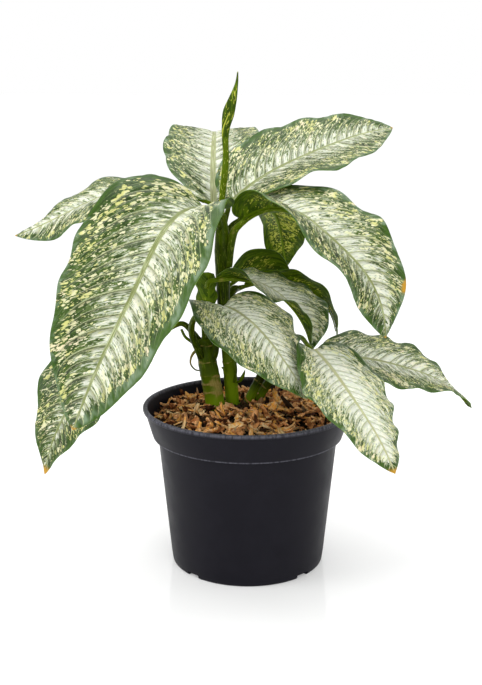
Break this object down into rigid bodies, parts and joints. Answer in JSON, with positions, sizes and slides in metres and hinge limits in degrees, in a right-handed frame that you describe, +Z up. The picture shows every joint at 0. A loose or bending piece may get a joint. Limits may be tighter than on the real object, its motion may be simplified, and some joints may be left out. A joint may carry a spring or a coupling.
{
  "type": "potted dieffenbachia",
  "caption": "Broad-leaved cane plant with cream-flecked arching leaves, standing in a tapered plastic nursery pot filled with bark.",
  "frame": {"origin": "centre of the pot's base, on the surface it stands on", "axes": "+Z up along the pot's axis, +X to the right and -Y towards the viewer in the plant's front view"},
  "size_m": [0.458, 0.4869, 0.4871],
  "materials": {
    "pot_plastic": "matte black moulded plastic",
    "bark_mix": "rough bark chips and coir",
    "cane_skin": "smooth olive and tan ringed cane",
    "petiole_skin": "satin green stem",
    "leaf_blade": "satin green leaf with cream flecks",
    "spear_blade": "satin light green rolled leaf"
  },
  "bodies": {
    "root": {"pot": "pot_plastic", "potting_mix": "bark_mix", "cane_left": "cane_skin", "cane_middle": "cane_skin", "cane_right": "cane_skin", "cane_far_right": "cane_skin", "petiole_front_left": "petiole_skin", "petiole_far_left": "petiole_skin", "petiole_low_left": "petiole_skin", "petiole_back": "petiole_skin", "petiole_upper_right": "petiole_skin", "petiole_right_arch": "petiole_skin", "petiole_behind": "petiole_skin", "petiole_inner_back": "petiole_skin", "petiole_mid_right": "petiole_skin", "petiole_mid_back": "petiole_skin", "petiole_low_front": "petiole_skin", "petiole_low_right": "petiole_skin", "petiole_front_right": "petiole_skin", "leaf_front_left": "leaf_blade", "leaf_far_left": "leaf_blade", "leaf_low_left": "leaf_blade", "leaf_back": "leaf_blade", "leaf_upper_right": "leaf_blade", "leaf_right_arch": "leaf_blade", "leaf_behind": "leaf_blade", "leaf_inner_back": "leaf_blade", "leaf_mid_right": "leaf_blade", "leaf_mid_back": "leaf_blade", "leaf_low_front": "leaf_blade", "leaf_low_right": "leaf_blade", "leaf_front_right": "leaf_blade", "spear_leaf": "spear_blade"}
  },
  "joints": []
}
